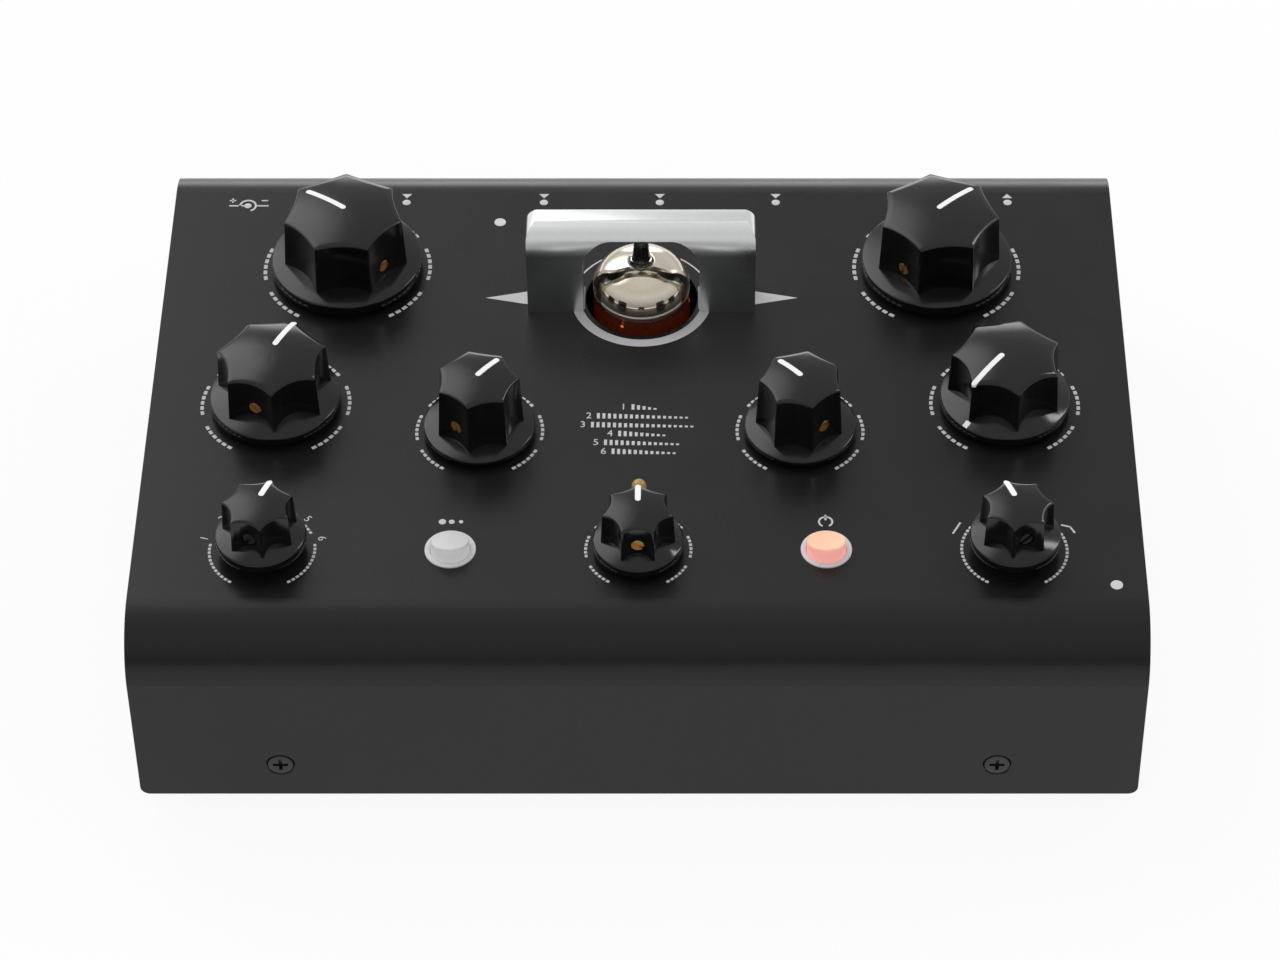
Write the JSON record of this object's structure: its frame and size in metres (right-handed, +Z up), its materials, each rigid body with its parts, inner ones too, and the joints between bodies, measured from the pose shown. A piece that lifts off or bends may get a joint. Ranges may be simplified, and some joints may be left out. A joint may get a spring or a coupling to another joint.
{
  "type": "delay unit",
  "caption": "Desktop audio delay in a black folded steel case with a vacuum tube under a chrome hood, fluted pointer knobs, push buttons and rear sockets.",
  "frame": {"origin": "middle of the bounding box, on the plane that the feet stand on", "axes": "+Z up, +X to the right along the front, -Y out of the front wall"},
  "size_m": [0.205, 0.1502, 0.0725],
  "materials": {
    "case_paint": "fine matte powder coat",
    "rubber": "matte",
    "steel": "zinc plated",
    "dark_steel": "blackened",
    "black_screw": "blackened",
    "chrome": "polished",
    "glass": "clear with a silver getter mirror over the dome",
    "electrode": "grey carbonised",
    "ceramic": "white",
    "circuit_board": "solder mask",
    "nylon": "natural",
    "black_plastic": "moulded",
    "gloss_black": "moulded",
    "zinc": "die cast",
    "knob_black": "polished phenolic",
    "brass": "turned",
    "white_cap": "translucent",
    "grey_plastic": "satin",
    "amber": "clear amber",
    "orange_cap": "translucent, lit from below"
  },
  "bodies": {
    "case": {"top_cover": "case_paint", "rear_panel": "case_paint", "base_tray": "case_paint", "rubber_feet": "rubber", "foot_screws": "steel", "case_screws": "black_screw", "tube_hood": "chrome", "hood_screws": "steel", "tube_glass": "glass", "tube_electrodes": "electrode", "tube_pins": "steel", "tube_socket": "ceramic", "control_board": "circuit_board", "main_board": "circuit_board", "board_supports": "nylon", "board_link": "black_plastic", "board_parts": "black_plastic", "pot_bodies": "zinc", "selector_bodies": "zinc", "shaft_nuts": "steel", "button_bezels": "grey_plastic", "button_switches": "black_plastic", "indicator_lenses": "grey_plastic", "amber_lamp": "amber", "audio_jacks": "black_plastic", "jack_nuts": "steel", "din_socket": "black_plastic", "inlet_socket": "black_plastic", "socket_contacts": "brass", "power_switch_body": "black_plastic"},
    "rear_left_control": {"knob_rear_left": "knob_black", "shaft_rear_left": "steel", "set_screw_rear_left": "brass"},
    "rear_right_control": {"knob_rear_right": "knob_black", "shaft_rear_right": "steel", "set_screw_rear_right": "brass"},
    "outer_left_control": {"knob_outer_left": "knob_black", "shaft_outer_left": "steel", "set_screw_outer_left": "brass"},
    "inner_left_control": {"knob_inner_left": "knob_black", "shaft_inner_left": "steel", "set_screw_inner_left": "brass"},
    "inner_right_control": {"knob_inner_right": "knob_black", "shaft_inner_right": "steel", "set_screw_inner_right": "brass"},
    "outer_right_control": {"knob_outer_right": "knob_black", "shaft_outer_right": "steel", "set_screw_outer_right": "brass"},
    "front_left_control": {"knob_front_left": "knob_black", "shaft_front_left": "steel", "set_screw_front_left": "dark_steel"},
    "front_centre_control": {"knob_front_centre": "knob_black", "shaft_front_centre": "steel", "set_screw_front_centre": "brass"},
    "front_right_control": {"knob_front_right": "knob_black", "shaft_front_right": "steel", "set_screw_front_right": "dark_steel"},
    "left_push": {"left_button": "white_cap"},
    "right_push": {"right_button": "orange_cap"},
    "power_toggle": {"power_rocker": "gloss_black"}
  },
  "joints": [
    {"name": "rear_left_turn", "type": "hinge", "parent": "case", "child": "rear_left_control", "pos_m": [-0.0635, 0.03465, 0.0505], "axis": [0, 0, 1], "range_deg": [-202, 98]},
    {"name": "rear_right_turn", "type": "hinge", "parent": "case", "child": "rear_right_control", "pos_m": [0.0635, 0.03465, 0.0505], "axis": [0, 0, 1], "range_deg": [-105, 195]},
    {"name": "outer_left_turn", "type": "hinge", "parent": "case", "child": "outer_left_control", "pos_m": [-0.0762, -0.00725, 0.0505], "axis": [0, 0, 1], "range_deg": [-128, 172]},
    {"name": "inner_left_turn", "type": "hinge", "parent": "case", "child": "inner_left_control", "pos_m": [-0.0333, -0.01515, 0.0505], "axis": [0, 0, 1], "range_deg": [-113, 187]},
    {"name": "inner_right_turn", "type": "hinge", "parent": "case", "child": "inner_right_control", "pos_m": [0.0333, -0.01515, 0.0505], "axis": [0, 0, 1], "range_deg": [-191, 109]},
    {"name": "outer_right_turn", "type": "hinge", "parent": "case", "child": "outer_right_control", "pos_m": [0.0762, -0.00725, 0.0505], "axis": [0, 0, 1], "range_deg": [-288, 12]},
    {"name": "front_left_turn", "type": "hinge", "parent": "case", "child": "front_left_control", "pos_m": [-0.0762, -0.04925, 0.0505], "axis": [0, 0, 1], "range_deg": [-60, 90]},
    {"name": "front_centre_turn", "type": "hinge", "parent": "case", "child": "front_centre_control", "pos_m": [0, -0.04925, 0.0505], "axis": [0, 0, 1], "range_deg": [-150, 150]},
    {"name": "front_right_turn", "type": "hinge", "parent": "case", "child": "front_right_control", "pos_m": [0.0762, -0.04925, 0.0505], "axis": [0, 0, 1], "range_deg": [-60, 30]},
    {"name": "left_press", "type": "slide", "parent": "case", "child": "left_push", "axis": [0, 0, -1], "range_m": [0, 0.0012], "stiffness_N_per_m": 500, "springref_m": -0.001},
    {"name": "right_press", "type": "slide", "parent": "case", "child": "right_push", "axis": [0, 0, -1], "range_m": [0, 0.0012], "stiffness_N_per_m": 500, "springref_m": -0.001},
    {"name": "power_rock", "type": "hinge", "parent": "case", "child": "power_toggle", "pos_m": [-0.073, 0.0694, 0.0195], "axis": [1, 0, 0], "range_deg": [-16, 0]}
  ]
}
